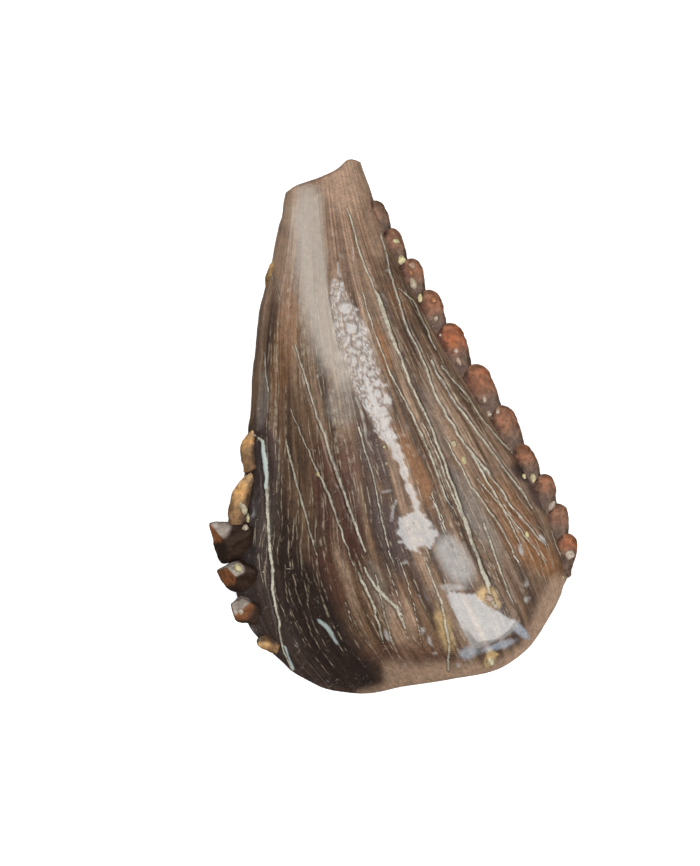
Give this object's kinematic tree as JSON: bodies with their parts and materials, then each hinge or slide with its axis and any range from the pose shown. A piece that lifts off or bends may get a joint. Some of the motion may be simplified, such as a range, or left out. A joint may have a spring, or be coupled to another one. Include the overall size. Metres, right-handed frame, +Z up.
{
  "type": "fossil troodon tooth",
  "caption": "Shed crown of a small meat-eating dinosaur's tooth, flat and triangular, with hooked cutting teeth down one edge, lying on its side.",
  "frame": {"origin": "middle of the underside of the crown's box, on the surface it lies on", "axes": "+Y from the shed base to the worn tip, +X from the front edge to the toothed back edge, +Z up out of the cheek face"},
  "size_m": [0.0052, 0.0074, 0.0022],
  "materials": {
    "fossil_enamel": "gloss"
  },
  "bodies": {
    "root": {"tooth_crown": "fossil_enamel"}
  },
  "joints": []
}
